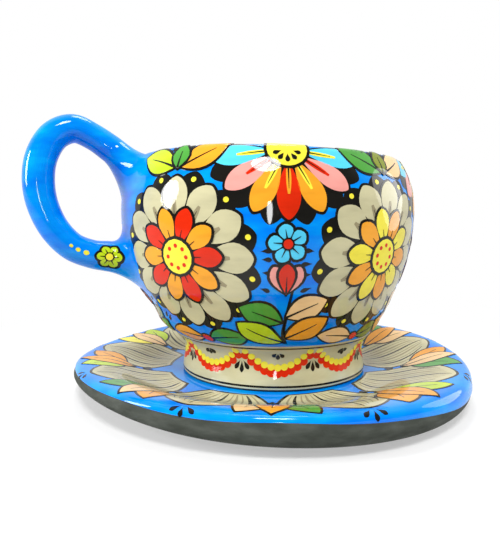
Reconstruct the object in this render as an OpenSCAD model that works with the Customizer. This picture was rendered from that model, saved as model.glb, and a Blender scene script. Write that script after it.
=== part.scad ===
// Painted clay cup with a loop handle, standing on its saucer.
// Lengths are in millimetres. The origin is the middle of the saucer's flat base,
// +Z is up and the handle points along -X.

/* [Saucer] */
// Width of the saucer over its outer edge
saucer_d = 150; // [135:1:170]
// Width of the flat base that stands on the table
saucer_base_d = 104; // [84:1:116]
// Height of the lip above the table
saucer_h = 11.8; // [10:0.1:16]
// Thickness of the clay under the cup
saucer_floor = 5; // [4:0.1:8]
// Width of the level seat in the middle
seat_d = 88; // [78:1:108]
// Rounding of the lip
lip_r = 2.6; // [2:0.1:3.2]
// How far the lip's side stands in from the outer edge
lip_set_in = 0.5; // [0:0.1:1.5]
// Rounding of the outer edge below the lip
edge_r = 4; // [3:0.1:4.4]
// Height of the widest line of the edge above the table
edge_h = 6.8; // [6:0.1:7.6]
// Thickness of the colour coat on the saucer
saucer_coat_t = 0.4; // [0.2:0.05:0.8]

/* [Bowl] */
// Width of the bowl at its belly
belly_d = 112.6; // [100:0.2:125]
// Depth from the belly down to the bowl's underside
bowl_depth = 52; // [44:0.5:62]
// Width of the level middle of the underside
bowl_flat_d = 42; // [30:0.5:50]
// Height of the shoulder from the belly up to the rim
shoulder_h = 18; // [12:0.5:26]
// How far the shoulder draws in up to the rim
shoulder_in = 5.2; // [3:0.1:10]
// Thickness of the bowl's wall
wall = 4.6; // [3.4:0.1:6]
// Thickness of the glaze that lines the inside
lining_t = 0.5; // [0.3:0.05:0.9]

/* [Foot] */
// Width of the foot ring
foot_d = 72; // [62:0.5:76]
// Thickness of the foot ring
foot_wall = 6; // [4:0.1:8]
// Height of the hollow inside the foot ring
foot_hollow_h = 9; // [6:0.1:14]
// Rounding of the foot ring's lower edges
foot_edge_r = 1.2; // [0.6:0.1:1.6]
// Thickness of the slip that joins the foot ring to the bowl
foot_slip_t = 0.8; // [0.4:0.1:1.4]

/* [Handle] */
// Width of the handle's coil across the loop
coil_w = 11.6; // [9:0.1:14]
// Thickness of the coil in the plane of the loop
coil_t = 10.2; // [8:0.1:12]
// How far the middle of the coil stands out from the belly
handle_reach = 26.8; // [22:0.2:36]
// How far the middle of the coil rises above the rim
handle_rise = 8; // [5:0.1:14]
// How far below the rim the upper joint is centred
upper_joint_drop = 4; // [3:0.1:7]
// How far below the belly the lower joint is centred
lower_joint_drop = 16; // [10:0.2:22]
// Width of the upper joint's clay round the wall
upper_joint_w = 34; // [22:0.5:38]
// Width of the lower joint's clay round the wall
lower_joint_w = 24; // [18:0.5:30]
// Reach of the upper joint's clay down the wall
upper_joint_down = 13; // [9:0.2:16]
// Reach of the lower joint's clay up the wall
lower_joint_up = 12; // [9:0.2:15]
// Reach of the lower joint's clay down the wall
lower_joint_down = 13.6; // [9:0.2:16]

/* [Hidden] */
$fn = 144;

// Steps of the curves
arc_steps = 10;
ease_steps = 16;
bowl_steps = 30;
shoulder_steps = 14;
ring_sides = 28;
rings_per_span = 4;
joint_steps = 8;

// The coil's middle line from the upper joint round to the lower one. The first share of a row runs
// from the belly out to the furthest reach, and the second from the lower joint up to the highest point.
loop_shares = [
    [0.13, 0.865], [0.33, 0.945], [0.57, 1.0], [0.80, 0.935], [0.95, 0.78], [1.0, 0.60],
    [0.965, 0.41], [0.84, 0.225], [0.64, 0.085], [0.40, 0.02], [0.20, 0.0],
];
// Thickness of the coil at each of those points
coil_shares = [0.94, 0.89, 0.92, 0.95, 0.98, 1.0, 0.99, 0.97, 0.96, 0.98, 1.06];
// How far a joint's clay leaves the coil, and runs on along the wall, for each width of the coil
leave_share = 0.9;
arrive_share = 1.1;
// How steeply a joint's clay meets the wall, sideways for each part along it
meet_share = 0.35;
// How steeply the upper joint's clay meets the top of the rim
rim_meet_share = 1.1;
// How far inside the wall a joint's outer edge and its root end, for each part of the wall
bite_share = 0.1;
root_share = 0.5;
// How far apart the points are that give the wall's direction, for each part of the wall
square_share = 0.25;
// How much of the way from the top of the lip down to its side the coat covers
coat_cover_share = 0.85;
// How much of the way from the upper joint's middle to the top of the rim its clay covers
rim_cover_share = 0.95;
// Width of the joint's root for each part of its outer edge's width
root_width_share = 0.7;

saucer_r = saucer_d / 2;
base_r = saucer_base_d / 2;
seat_r = seat_d / 2;
lip_c = [saucer_r - lip_set_in - lip_r, saucer_h - lip_r];
edge_c = [saucer_r - edge_r, edge_h];

belly_r = belly_d / 2;
bowl_flat_r = bowl_flat_d / 2;
bowl_across = belly_r - bowl_flat_r;
foot_r = foot_d / 2;
foot_in_r = foot_r - foot_wall;
cup_z = saucer_floor + saucer_coat_t;
belly_z = cup_z + foot_hollow_h + bowl_depth;
shoulder_r = (shoulder_h * shoulder_h + shoulder_in * shoulder_in) / (2 * shoulder_in);
shoulder_c = belly_r - shoulder_r;
rim_a = atan2(shoulder_h, shoulder_r - shoulder_in);
rim_r = wall / 2;
rim_c = [
    shoulder_c + (shoulder_r - rim_r) * cos(rim_a),
    belly_z + (shoulder_r - rim_r) * sin(rim_a),
];
rim_z = rim_c[1] + rim_r;

upper_joint_z = rim_z - upper_joint_drop;
lower_joint_z = belly_z - lower_joint_drop;
loop_top_z = rim_z + handle_rise;

// Points nearer than this are one point
same_point = 0.001;

// A row of points with each point that repeats the one before left out
function joined(points) =
    [for (i = [0:len(points) - 1]) if (i == 0 || norm(points[i] - points[i - 1]) > same_point) points[i]];

function backwards(list) = [for (i = [len(list) - 1:-1:0]) list[i]];

// Points of an arc about a centre, from one angle to another
function arc(c, r, from, to, steps) =
    [for (i = [0:steps]) let (a = from + (to - from) * i / steps) c + r * [cos(a), sin(a)]];

// Angle at which one straight line touches the outer sides of the upper and the lower circle
function side_tangent(upper, upper_r, lower, lower_r) =
    let (d = upper - lower) atan2(d[1], d[0]) - 90 + asin((lower_r - upper_r) / norm(d));

// Angle at which a line from a point below touches the underside of a circle
function under_tangent(p, c, r) = let (d = c - p) atan2(d[1], d[0]) - asin(r / norm(d)) - 90;

edge_side_a = side_tangent(lip_c, lip_r, edge_c, edge_r);
edge_under_a = under_tangent([base_r, 0], edge_c, edge_r);
coat_end_a = 90 + (edge_side_a - 90) * coat_cover_share;

// The saucer's dished top between seat and lip, raised squarely by a coat
function dish_point(u, raised) =
    let (
        run = lip_c[0] - seat_r,
        climb = saucer_h - saucer_floor,
        slope = climb / run * 90 * PI / 180 * sin(180 * u),
        square = [-slope, 1] / norm([slope, 1])
    )
    [seat_r + run * u, saucer_floor + climb * (1 - cos(180 * u)) / 2] + raised * square;

// The coated top from the saucer's middle out over the lip, raised by the coat
function saucer_top(raised) = concat(
    [[0, saucer_floor + raised]],
    [for (i = [0:ease_steps]) dish_point(i / ease_steps, raised)],
    arc(lip_c, lip_r + raised, 90, coat_end_a, arc_steps)
);

// The bowl's side below the belly between two angles, moved out by a distance
function bowl_side(out, from, to, steps) = [
    for (i = [0:steps])
        let (a = from + (to - from) * i / steps)
        [bowl_flat_r + (bowl_across + out) * cos(a), belly_z + (bowl_depth + out) * sin(a)]
];

// The angle of that side at a radius
function bowl_angle(r, out) = -acos(max(0, r - bowl_flat_r) / (bowl_across + out));

// The stretch of it that the foot ring is joined to, from the inside out
function foot_top(out) = bowl_side(out, bowl_angle(foot_in_r, out), bowl_angle(foot_r, out), arc_steps);

// The bowl's underside and lower side, from the middle out and up to the belly
function bowl_lower(out) = concat(
    [[0, belly_z - bowl_depth - out]],
    bowl_side(out, -90, bowl_angle(foot_in_r, out), arc_steps),
    foot_top(out),
    bowl_side(out, bowl_angle(foot_r, out), 0, bowl_steps)
);

// The shoulder from the belly up to the rim
function bowl_upper(out) = arc([shoulder_c, belly_z], shoulder_r + out, 0, rim_a, shoulder_steps);

// The outer and the inner half of the rounded rim
function rim_outer(out) = arc(rim_c, rim_r + out, rim_a, 90, arc_steps);
function rim_inner(out) = arc(rim_c, rim_r + out, 90, rim_a + 180, arc_steps);

// The bowl's outside from its underside up over the rim, with the length along it at each point
bowl_line = joined(concat(bowl_lower(0), bowl_upper(0), rim_outer(0)));
bowl_runs = [
    for (i = 0, run = 0; i < len(bowl_line);
        i = i + 1, run = i < len(bowl_line) ? run + norm(bowl_line[i] - bowl_line[i - 1]) : run) run
];
run_to_r = [for (i = [0:len(bowl_line) - 1]) [bowl_runs[i], bowl_line[i][0]]];
run_to_z = [for (i = [0:len(bowl_line) - 1]) [bowl_runs[i], bowl_line[i][1]]];
z_to_run = [for (i = [1:len(bowl_line) - 1]) [bowl_line[i][1], bowl_runs[i]]];

// A point of the bowl's outside: how far along it, and how far round from the handle's side
function wall_point(run, turn) =
    let (r = lookup(run, run_to_r)) [-r * cos(turn), -r * sin(turn), lookup(run, run_to_z)];

// The wall's outward direction there
function wall_square(run, turn) =
    let (
        step = wall * square_share,
        up = wall_point(run + step, turn) - wall_point(run - step, turn),
        round = [sin(turn), -cos(turn), 0],
        out = cross(round, up)
    )
    out / norm(out);

// The loop's middle line through its points
loop_points = [
    for (s = loop_shares)
        [belly_r + handle_reach * s[0], lower_joint_z + (loop_top_z - lower_joint_z) * s[1]]
];
function at(list, i) = list[max(0, min(len(list) - 1, i))];
function spline(a, b, c, d, u) =
    ((2 * b) + (c - a) * u + (2 * a - 5 * b + 4 * c - d) * u * u + (3 * b - a - 3 * c + d) * u * u * u) / 2;
function along(list, i, u) = spline(at(list, i - 1), at(list, i), at(list, i + 1), at(list, i + 2), u);
loop_spans = len(loop_points) - 1;
loop_line = concat(
    [for (i = [0:loop_spans - 1], k = [0:rings_per_span - 1]) along(loop_points, i, k / rings_per_span)],
    [loop_points[loop_spans]]
);
coil_sizes = concat(
    [for (i = [0:loop_spans - 1], k = [0:rings_per_span - 1]) along(coil_shares, i, k / rings_per_span)],
    [coil_shares[loop_spans]]
);

// The coil's direction at a ring, and one ring of its outline
function loop_way(i) = let (d = at(loop_line, i + 1) - at(loop_line, i - 1)) d / norm(d);
function coil_ring(i) =
    let (c = loop_line[i], way = loop_way(i), out = [-way[1], way[0]], size = coil_sizes[i])
    [
        for (k = [0:ring_sides - 1])
            let (
                a = 360 * k / ring_sides,
                p = c + out * (coil_t / 2 * size * sin(a))
            )
            [-p[0], coil_w / 2 * size * cos(a), p[1]]
    ];

// A joint is where it is along the wall, its width round the wall, its reach along the wall on the
// outer and on the inner side of the loop, and how steeply its outer side meets the wall.
// This is its edge at an angle and a share of its size.
function joint_edge(joint, a, share) =
    let (
        side = joint[1] / 2 / lookup(joint[0], run_to_r) * 180 / PI,
        reach = sin(a) > 0 ? joint[2] : joint[3]
    )
    [joint[0] + reach * sin(a) * share, -side * cos(a) * share];

// The rings of a joint, from the coil down to its root inside the wall
function joint_rings(ring, way, joint) = concat(
    [
        for (s = [0:joint_steps])
            [
                for (k = [0:ring_sides - 1])
                    let (
                        u = s / joint_steps,
                        a = 360 * k / ring_sides,
                        edge = joint_edge(joint, a, 1),
                        near = joint_edge(joint, a, root_width_share),
                        square = wall_square(edge[0], edge[1]),
                        end = wall_point(edge[0], edge[1]) - square * (wall * bite_share),
                        away = wall_point(edge[0], edge[1]) - wall_point(near[0], near[1]),
                        steep = meet_share + (joint[4] - meet_share) * max(0, sin(a)),
                        meet = away / norm(away) - square * steep,
                        leave = way * (coil_w * leave_share),
                        arrive = meet * (coil_w * arrive_share)
                    )
                    ring[k] * (2 * u * u * u - 3 * u * u + 1) + leave * (u * u * u - 2 * u * u + u)
                        + end * (3 * u * u - 2 * u * u * u) + arrive * (u * u * u - u * u)
            ]
    ],
    [
        [
            for (k = [0:ring_sides - 1])
                let (root = joint_edge(joint, 360 * k / ring_sides, root_width_share))
                wall_point(root[0], root[1]) - wall_square(root[0], root[1]) * (wall * root_share)
        ]
    ]
);

// The middle of a ring
function middle(ring) = [for (p = ring) 1 / len(ring)] * ring;

// A closed solid through rings of equal count
module loft(rings, flip) {
    n = len(rings[0]);
    last = len(rings) - 1;
    points = concat([for (ring = rings) for (p = ring) p], [middle(rings[0]), middle(rings[last])]);
    first_mid = n * (last + 1);
    sides = [
        for (s = [0:last - 1], k = [0:n - 1])
            let (a = s * n + k, b = s * n + (k + 1) % n)
            for (f = [[a, b, b + n], [a, b + n, a + n]]) f
    ];
    ends = [
        for (k = [0:n - 1])
            for (f = [[first_mid, (k + 1) % n, k], [first_mid + 1, last * n + k, last * n + (k + 1) % n]]) f
    ];
    faces = concat(sides, ends);
    polyhedron(points, flip ? [for (f = faces) [f[0], f[2], f[1]]] : faces);
}

module saucer_plate() {
    color("dimgray")
        rotate_extrude()
            polygon(joined(concat(
                [[0, 0], [base_r, 0]],
                arc(edge_c, edge_r, edge_under_a, edge_side_a, arc_steps),
                arc(lip_c, lip_r, edge_side_a, coat_end_a, 1),
                backwards(saucer_top(0))
            )));
}

module saucer_coat() {
    color("dodgerblue")
        rotate_extrude()
            polygon(joined(concat(saucer_top(0), backwards(saucer_top(saucer_coat_t)))));
}

module bowl_solid() {
    rotate_extrude()
        polygon(joined(concat(
            bowl_line,
            rim_inner(0),
            backwards(bowl_upper(-wall)),
            backwards(bowl_lower(-wall))
        )));
}

module cup_bowl() {
    color("dodgerblue")
        bowl_solid();
}

module cup_lining() {
    color("deepskyblue")
        rotate_extrude()
            polygon(joined(concat(
                bowl_lower(-wall),
                bowl_upper(-wall),
                backwards(rim_inner(0)),
                rim_inner(lining_t),
                backwards(bowl_upper(-wall - lining_t)),
                backwards(bowl_lower(-wall - lining_t))
            )));
}

module cup_foot() {
    low = cup_z + foot_edge_r;
    color("tan")
        rotate_extrude()
            polygon(concat(
                foot_top(foot_slip_t),
                arc([foot_r - foot_edge_r, low], foot_edge_r, 0, -90, arc_steps),
                arc([foot_in_r + foot_edge_r, low], foot_edge_r, -90, -180, arc_steps)
            ));
}

module foot_slip() {
    color("gray")
        rotate_extrude()
            polygon(concat(foot_top(0), backwards(foot_top(foot_slip_t))));
}

module handle_loop() {
    color("dodgerblue")
        loft([for (i = [0:len(loop_line) - 1]) coil_ring(i)], false);
}

// The clay of a joint, from the loop's end at a ring to the bowl's wall, which cuts it off
module joint_clay(i, sign, joint) {
    way = loop_way(i) * sign;
    difference() {
        loft(joint_rings(coil_ring(i), [-way[0], 0, way[1]], joint), sign < 0);
        bowl_solid();
    }
}

module handle_upper_joint() {
    run = lookup(upper_joint_z, z_to_run);
    up = (bowl_runs[len(bowl_runs) - 1] - run) * rim_cover_share;
    joint = [run, upper_joint_w, up, upper_joint_down, rim_meet_share];
    color("dodgerblue")
        joint_clay(0, -1, joint);
}

module handle_lower_joint() {
    run = lookup(lower_joint_z, z_to_run);
    joint = [run, lower_joint_w, -lower_joint_down, -lower_joint_up, meet_share];
    color("dodgerblue")
        joint_clay(len(loop_line) - 1, 1, joint);
}

saucer_plate();
saucer_coat();
cup_bowl();
cup_lining();
cup_foot();
foot_slip();
handle_loop();
handle_upper_joint();
handle_lower_joint();
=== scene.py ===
import math
import random
from collections import namedtuple

import bpy
import numpy as np
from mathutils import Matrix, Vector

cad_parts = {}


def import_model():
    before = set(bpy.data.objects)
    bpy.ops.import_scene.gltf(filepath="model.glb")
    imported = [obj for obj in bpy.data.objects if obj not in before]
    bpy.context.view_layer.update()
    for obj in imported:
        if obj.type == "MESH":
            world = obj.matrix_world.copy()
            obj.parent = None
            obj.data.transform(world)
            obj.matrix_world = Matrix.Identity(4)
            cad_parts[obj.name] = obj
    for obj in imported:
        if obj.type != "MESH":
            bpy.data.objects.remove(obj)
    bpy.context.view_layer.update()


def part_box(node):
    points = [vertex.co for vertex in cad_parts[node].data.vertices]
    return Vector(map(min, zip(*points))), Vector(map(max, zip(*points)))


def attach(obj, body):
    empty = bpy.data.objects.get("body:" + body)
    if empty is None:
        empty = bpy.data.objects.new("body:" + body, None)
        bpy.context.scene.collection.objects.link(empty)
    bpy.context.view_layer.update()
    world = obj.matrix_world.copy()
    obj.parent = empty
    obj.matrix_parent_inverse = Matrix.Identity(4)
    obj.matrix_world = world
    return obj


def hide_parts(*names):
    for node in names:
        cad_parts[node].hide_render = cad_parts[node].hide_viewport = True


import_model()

# Lengths below are in millimetres, and meshes are scaled to metres when they are made
MM = 0.001
rng = random.Random(11)


def node_box(node):
    """Lowest and highest corner of a solid, in millimetres."""
    return [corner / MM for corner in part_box(node)]


# Sizes taken from the solids
plate_high = node_box("saucer_plate")[1]
coat_low = node_box("saucer_coat")[0]
bowl_low, bowl_high = node_box("cup_bowl")
foot_low, foot_high = node_box("cup_foot")
SAUCER_R = plate_high.y
SAUCER_H = plate_high.z
SEAT_Z = coat_low.z
BELLY_R = bowl_high.y
RIM_TOP = bowl_high.z
FOOT_R = foot_high.y
CUP_Z = foot_low.z

# Sizes of the saucer, as its solid has them
SAUCER_BASE_R = 52.0
SEAT_R = 44.0
LIP_R = 2.6
LIP_SET_IN = 0.5
EDGE_R = 4.0
EDGE_H = 6.8
COAT_T = 0.4
COAT_COVER = 0.85
COAT_DRIP = 0.5

# Sizes of the bowl and its foot
BOWL_DEPTH = 52.0
BOWL_FLAT_R = 21.0
SHOULDER_H = 18.0
SHOULDER_IN = 5.2
WALL_T = 4.6
LINING_T = 0.5
FOOT_WALL = 6.0
FOOT_EDGE_R = 1.2
FOOT_PAINT_END_A = -20
FOOT_FILLET_R = 8.0
FOOT_WAIST = 1.0
FOOT_TOP_SINK = 0.3
SLIP_T = 0.8

# Edges of the saucer's coat and the cup's glaze, and how far both reach into the clay
COAT_EDGE_T = 0.04
COAT_EDGE_EASE = 1.2
LINING_EASE = 6.0
SINK = 0.1

# Sizes of the handle
COIL_W = 11.6
COIL_T = 10.2
HANDLE_REACH = 26.8
HANDLE_RISE = 8.0
UPPER_JOINT_DROP = 4.0
LOWER_JOINT_DROP = 16.0
LOOP_SHARES = [
    (0.13, 0.865), (0.33, 0.945), (0.57, 1.0), (0.80, 0.935), (0.95, 0.78), (1.0, 0.60),
    (0.965, 0.41), (0.84, 0.225), (0.64, 0.085), (0.40, 0.02), (0.20, 0.0),
]
COIL_SHARES = [0.94, 0.89, 0.92, 0.95, 0.98, 1.0, 0.99, 0.97, 0.96, 0.98, 1.06]
LEAVE_SHARE = 0.9
ARRIVE_SHARE = 1.1
MEET_SHARE = 0.12
RIM_MEET_SHARE = 1.1
JOINT_BITE = 0.1
ROOT_SHARE = 0.5
ROOT_WIDTH_SHARE = 0.7
RIM_COVER_SHARE = 0.95
WALL_EASE_SHARES = (0.55, 0.95)

# Where a hand left the saucer uneven: the size of a swelling, its turn and its spread in degrees
EDGE_OUT = [(2.3, -78, 34), (-0.9, 185, 30), (-0.8, -12, 26), (0.6, 95, 40)]
EDGE_FROM_R = (SAUCER_BASE_R + 1, SAUCER_R - 5)
UNDERSIDE_UP = [(3.7, 188, 38), (-0.8, -72, 42), (0.8, 60, 50)]
LIP_UP = [(1.2, 5, 32), (-2.0, 138, 34), (-0.5, -66, 42)]
COAT_END_ON = [(3.0, -56, 26), (-0.75, -111, 12), (-0.8, -148, 12)]

# Where a hand left the cup uneven, with the heights between which that sets in or fades
RIM_DROP = [(1.7, -82, 55)]
RIM_DROP_BELOW_BELLY = 6.0
SIDE_IN = [(1.4, -41, 50)]
SIDE_IN_Z = (24.0, 38.0)
LOW_SIDE_IN = [(2.2, 173, 45)]
LOW_SIDE_Z = 31.5
LOW_SIDE_SPREAD_Z = 6.0
LOW_SIDE_FROM_Z = (20.0, 28.0)
SIDE_FROM_R = (12.0, 30.0)
FOOT_ASIDE = 2.2
FOOT_ASIDE_TURN = -24.0
FOOT_ASIDE_Z = (19.0, 28.0)

# How finely the surfaces are divided
TURNS = 288
BOWL_STEPS = 110
SHOULDER_STEPS = 40
DISH_STEPS = 70
RING_SIDES = 56
RINGS_PER_SPAN = 10
JOINT_RINGS = 26

# Films of paint: depth in the clay, largest step, black edge, and half widths of strokes and drops
FILM_SINK = 0.15
FILM_STEP = 1.4
OUTLINE = 0.85
THINNEST = 0.03
DROP_HALF = 0.75

# Turns round the axis, in degrees: the handle's side and the side that the camera sees
HANDLE_TURN = 180.0
CAMERA_TURN = -112.0


# Profiles


def arc(centre, radius, start, end, steps):
    """Points of an arc, between two angles in degrees."""
    a = np.radians(np.linspace(start, end, steps + 1))
    return np.column_stack([centre[0] + radius * np.cos(a), centre[1] + radius * np.sin(a)])


def joined(*rows):
    """Rows of points as one row, without points that repeat."""
    points = np.vstack([np.atleast_2d(np.array(row, float)) for row in rows])
    step = np.linalg.norm(np.diff(points, axis=0), axis=1)
    return points[np.concatenate([[True], step > 1e-4])]


class Line:
    """Profile of a turned surface: radius, height and outward direction against the length along it."""

    def __init__(self, points, side=1.0):
        self.points = joined(points)
        step = np.linalg.norm(np.diff(self.points, axis=0), axis=1)
        self.runs = np.concatenate([[0.0], np.cumsum(step)])
        self.length = self.runs[-1]
        way = np.gradient(self.points, self.runs, axis=0)
        way /= np.linalg.norm(way, axis=1)[:, None]
        self.squares = np.column_stack([way[:, 1], -way[:, 0]]) * side

    def at(self, run):
        spot = np.column_stack([np.interp(run, self.runs, self.points[:, k]) for k in (0, 1)])
        square = np.column_stack([np.interp(run, self.runs, self.squares[:, k]) for k in (0, 1)])
        return spot, square / np.linalg.norm(square, axis=1)[:, None]


BELLY_Z = bowl_low.z + BOWL_DEPTH
BOWL_ACROSS = BELLY_R - BOWL_FLAT_R
SHOULDER_R = (SHOULDER_H**2 + SHOULDER_IN**2) / (2 * SHOULDER_IN)
SHOULDER_C = (BELLY_R - SHOULDER_R, BELLY_Z)
RIM_A = math.degrees(math.atan2(SHOULDER_H, SHOULDER_R - SHOULDER_IN))
RIM_R = WALL_T / 2
RIM_C = (
    SHOULDER_C[0] + (SHOULDER_R - RIM_R) * math.cos(math.radians(RIM_A)),
    SHOULDER_C[1] + (SHOULDER_R - RIM_R) * math.sin(math.radians(RIM_A)),
)


def bowl_side(out, start, end, steps):
    """The bowl's side below the belly, moved out by a distance, between two angles."""
    a = np.radians(np.linspace(start, end, steps + 1))
    r = BOWL_FLAT_R + (BOWL_ACROSS + out) * np.cos(a)
    return np.column_stack([r, BELLY_Z + (BOWL_DEPTH + out) * np.sin(a)])


def bowl_angle(radius):
    """Angle of the bowl's outside at a radius below the belly."""
    return -math.degrees(math.acos((radius - BOWL_FLAT_R) / BOWL_ACROSS))


def bowl_upper(out):
    return arc(SHOULDER_C, SHOULDER_R + out, 0, RIM_A, SHOULDER_STEPS)


def bowl_outside(start):
    """The bowl's outside from an angle below the belly up to the top of the rim."""
    return joined(bowl_side(0, start, 0, BOWL_STEPS), bowl_upper(0), arc(RIM_C, RIM_R, RIM_A, 90, 12))


def bowl_inside(thick):
    """The bowl's inside from the top of the rim down to its middle, with a glaze of some thickness."""
    rim = arc(RIM_C, RIM_R, 90, RIM_A + 180, 12)
    down = joined(bowl_upper(-WALL_T)[::-1], bowl_side(-WALL_T, 0, -90, 70))
    line = Line(joined(rim, down))
    return line.points + line.squares * (thick * eased(line.runs, 0, LINING_EASE))[:, None]


WALL = Line(bowl_outside(bowl_angle(FOOT_R)))
PAINTED_WALL = Line(joined(WALL.points, arc(RIM_C, RIM_R, 90, 140, 5)))

LIP_C = (SAUCER_R - LIP_SET_IN - LIP_R, SAUCER_H - LIP_R)
EDGE_C = (SAUCER_R - EDGE_R, EDGE_H)


def tangent_angle(upper, upper_r, lower, lower_r):
    """Angle at which a straight line touches the outer sides of two circles, or a circle and a point."""
    d = (upper[0] - lower[0], upper[1] - lower[1])
    return math.degrees(math.atan2(d[1], d[0]) + math.asin((lower_r - upper_r) / math.hypot(*d))) - 90


EDGE_SIDE_A = tangent_angle(LIP_C, LIP_R, EDGE_C, EDGE_R)
EDGE_UNDER_A = tangent_angle(EDGE_C, EDGE_R, (SAUCER_BASE_R, 0), 0)
COAT_END_A = 90 + (EDGE_SIDE_A - 90) * COAT_COVER


def dish():
    """The saucer's dished top from the edge of its seat out to its lip."""
    u = np.linspace(0, 1, DISH_STEPS + 1)
    r = SEAT_R + (LIP_C[0] - SEAT_R) * u
    return np.column_stack([r, SEAT_Z + (SAUCER_H - SEAT_Z) * (1 - np.cos(np.pi * u)) / 2])


def saucer_top(end):
    """The saucer's top from its middle out over the lip to an angle of the lip."""
    seat = np.column_stack([np.linspace(0, SEAT_R, 12), np.full(12, SEAT_Z)])
    return joined(seat, dish(), arc(LIP_C, LIP_R, 90, end, 16))


SIDE_LOW = arc(EDGE_C, EDGE_R, EDGE_SIDE_A, -40, 14)
COAT = Line(joined(saucer_top(EDGE_SIDE_A), SIDE_LOW), side=-1.0)
COAT_TOP = Line(COAT.points + COAT.squares * COAT_T, side=-1.0)
COAT_END = Line(saucer_top(COAT_END_A)).length + COAT_DRIP


# Meshes


def spun(flat, turns):
    """Radii and heights as points round the axis, at turns in radians."""
    return np.column_stack([flat[:, 0] * np.cos(turns), flat[:, 0] * np.sin(turns), flat[:, 1]])


def make_mesh(name, points, faces, body, material, normals=None, crease=None):
    """A piece from points in millimetres, riding on a body."""
    uneven = UNEVEN[body]
    points = np.asarray(points)
    if normals is not None:
        normals = uneven_normals(uneven, points, normals)
    points = uneven(points)
    mesh = bpy.data.meshes.new(name)
    mesh.from_pydata((points * MM).tolist(), [], faces)
    mesh.validate()
    mesh.polygons.foreach_set("use_smooth", np.ones(len(mesh.polygons), bool))
    if crease is not None:
        mesh.set_sharp_from_angle(angle=math.radians(crease))
    if normals is not None:
        mesh.normals_split_custom_set_from_vertices(normals.tolist())
    mesh.update()
    piece = bpy.data.objects.new(name, mesh)
    bpy.context.scene.collection.objects.link(piece)
    mesh.materials.append(material)
    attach(piece, body)
    return piece


def turned(profiles, closed):
    """Points and faces of a surface of revolution, one profile for each turn.

    A closed profile is a ring. An open one starts and ends on the axis.
    """
    count = len(profiles)
    turns = np.radians(np.arange(count) * 360.0 / count)
    rows = [p if closed else p[1:-1] for p in profiles]
    size = len(rows[0])
    points = np.vstack([spun(row, a) for row, a in zip(rows, turns)])
    faces = []
    for j in range(count):
        here, there = j * size, (j + 1) % count * size
        for i in range(size if closed else size - 1):
            k = (i + 1) % size
            faces.append((here + i, there + i, there + k, here + k))
    if closed:
        return points, faces
    first, last = len(points), len(points) + 1
    ends = np.array([(0, 0, profiles[0][0][1]), (0, 0, profiles[0][-1][1])])
    for j in range(count):
        here, there = j * size, (j + 1) % count * size
        faces.append((first, there, here))
        faces.append((last, here + size - 1, there + size - 1))
    return np.vstack([points, ends]), faces


def turned_piece(name, profiles, closed, body, material, crease=None):
    points, faces = turned(profiles, closed)
    return make_mesh(name, points, faces, body, material, crease=crease)


def swells(turns, parts):
    """Smooth swellings in one: the size of each, its turn and its spread in degrees."""
    total = 0.0
    for size, centre, spread in parts:
        away = (turns - centre + 180) % 360 - 180
        total = total + size * np.exp(-((away / spread) ** 2))
    return total


def eased(value, low, high):
    """A share that eases from 0 at a low value to 1 at a high one."""
    share = np.clip((value - low) / (high - low), 0, 1)
    return share * share * (3 - 2 * share)


def polar(points):
    """Distances from the axis, and turns round it in degrees."""
    turns = np.degrees(np.arctan2(points[:, 1], points[:, 0]))
    return np.hypot(points[:, 0], points[:, 1]), turns


def uneven_saucer(points):
    """Points of the saucer, with its edge as uneven as a hand left it and its base and seat flat."""
    r, turns = polar(points)
    near_edge = eased(r, *EDGE_FROM_R)
    below = np.clip((SAUCER_H - points[:, 2]) / (SAUCER_H - EDGE_H + EDGE_R), 0, 1)
    grow = 1 + near_edge * swells(turns, EDGE_OUT) / np.maximum(r, 1.0)
    rise = near_edge * (swells(turns, UNDERSIDE_UP) * below + swells(turns, LIP_UP) * (1 - below))
    return np.column_stack([points[:, 0] * grow, points[:, 1] * grow, points[:, 2] + rise])


def uneven_cup(points):
    """Points of the cup, with its rim, side and foot as uneven as a hand left them."""
    r, turns = polar(points)
    z = points[:, 2]
    drop = swells(turns, RIM_DROP) * eased(z, BELLY_Z - RIM_DROP_BELOW_BELLY, RIM_TOP)
    low = np.exp(-(((z - LOW_SIDE_Z) / LOW_SIDE_SPREAD_Z) ** 2)) * eased(z, *LOW_SIDE_FROM_Z)
    inward = swells(turns, SIDE_IN) * eased(z, *SIDE_IN_Z) + swells(turns, LOW_SIDE_IN) * low
    shrink = 1 - inward * eased(r, *SIDE_FROM_R) / np.maximum(r, 1.0)
    aside = FOOT_ASIDE * (1 - eased(z, *FOOT_ASIDE_Z))
    x = points[:, 0] * shrink + aside * math.cos(math.radians(FOOT_ASIDE_TURN))
    y = points[:, 1] * shrink + aside * math.sin(math.radians(FOOT_ASIDE_TURN))
    return np.column_stack([x, y, z - drop])


UNEVEN = {"saucer": uneven_saucer, "cup": uneven_cup}


def uneven_normals(uneven, points, normals):
    """Directions square to a surface after its points were made uneven."""
    step = 0.01
    moved = uneven(points)
    ways = np.stack([(uneven(points + step * way) - moved) / step for way in np.eye(3)], axis=1)
    turned_ways = np.linalg.solve(ways, normals[..., None])[..., 0]
    return turned_ways / np.linalg.norm(turned_ways, axis=1)[:, None]


def wave(turn, seed, size):
    """A slow wave round the axis, as a hand leaves it."""
    a = math.radians(turn)
    parts = [(2, 1.0), (3, 0.7), (5, 0.5), (8, 0.35), (13, 0.2)]
    return size * sum(w * math.sin(n * a + seed * 1.7 * n) for n, w in parts)


# Films of paint


# Painted areas: body, slot, thickness of a layer of paint and largest step in a film
Area = namedtuple("Area", "body slot layer_t step")
AREAS = {
    "cup": Area("cup", "cup_colour", 0.05, FILM_STEP),
    "foot": Area("cup", "foot_colour", 0.04, FILM_STEP),
    "handle": Area("cup", "handle_colour", 0.06, FILM_STEP / 2),
    "saucer": Area("saucer", "saucer_colour", 0.025, FILM_STEP),
}

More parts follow.
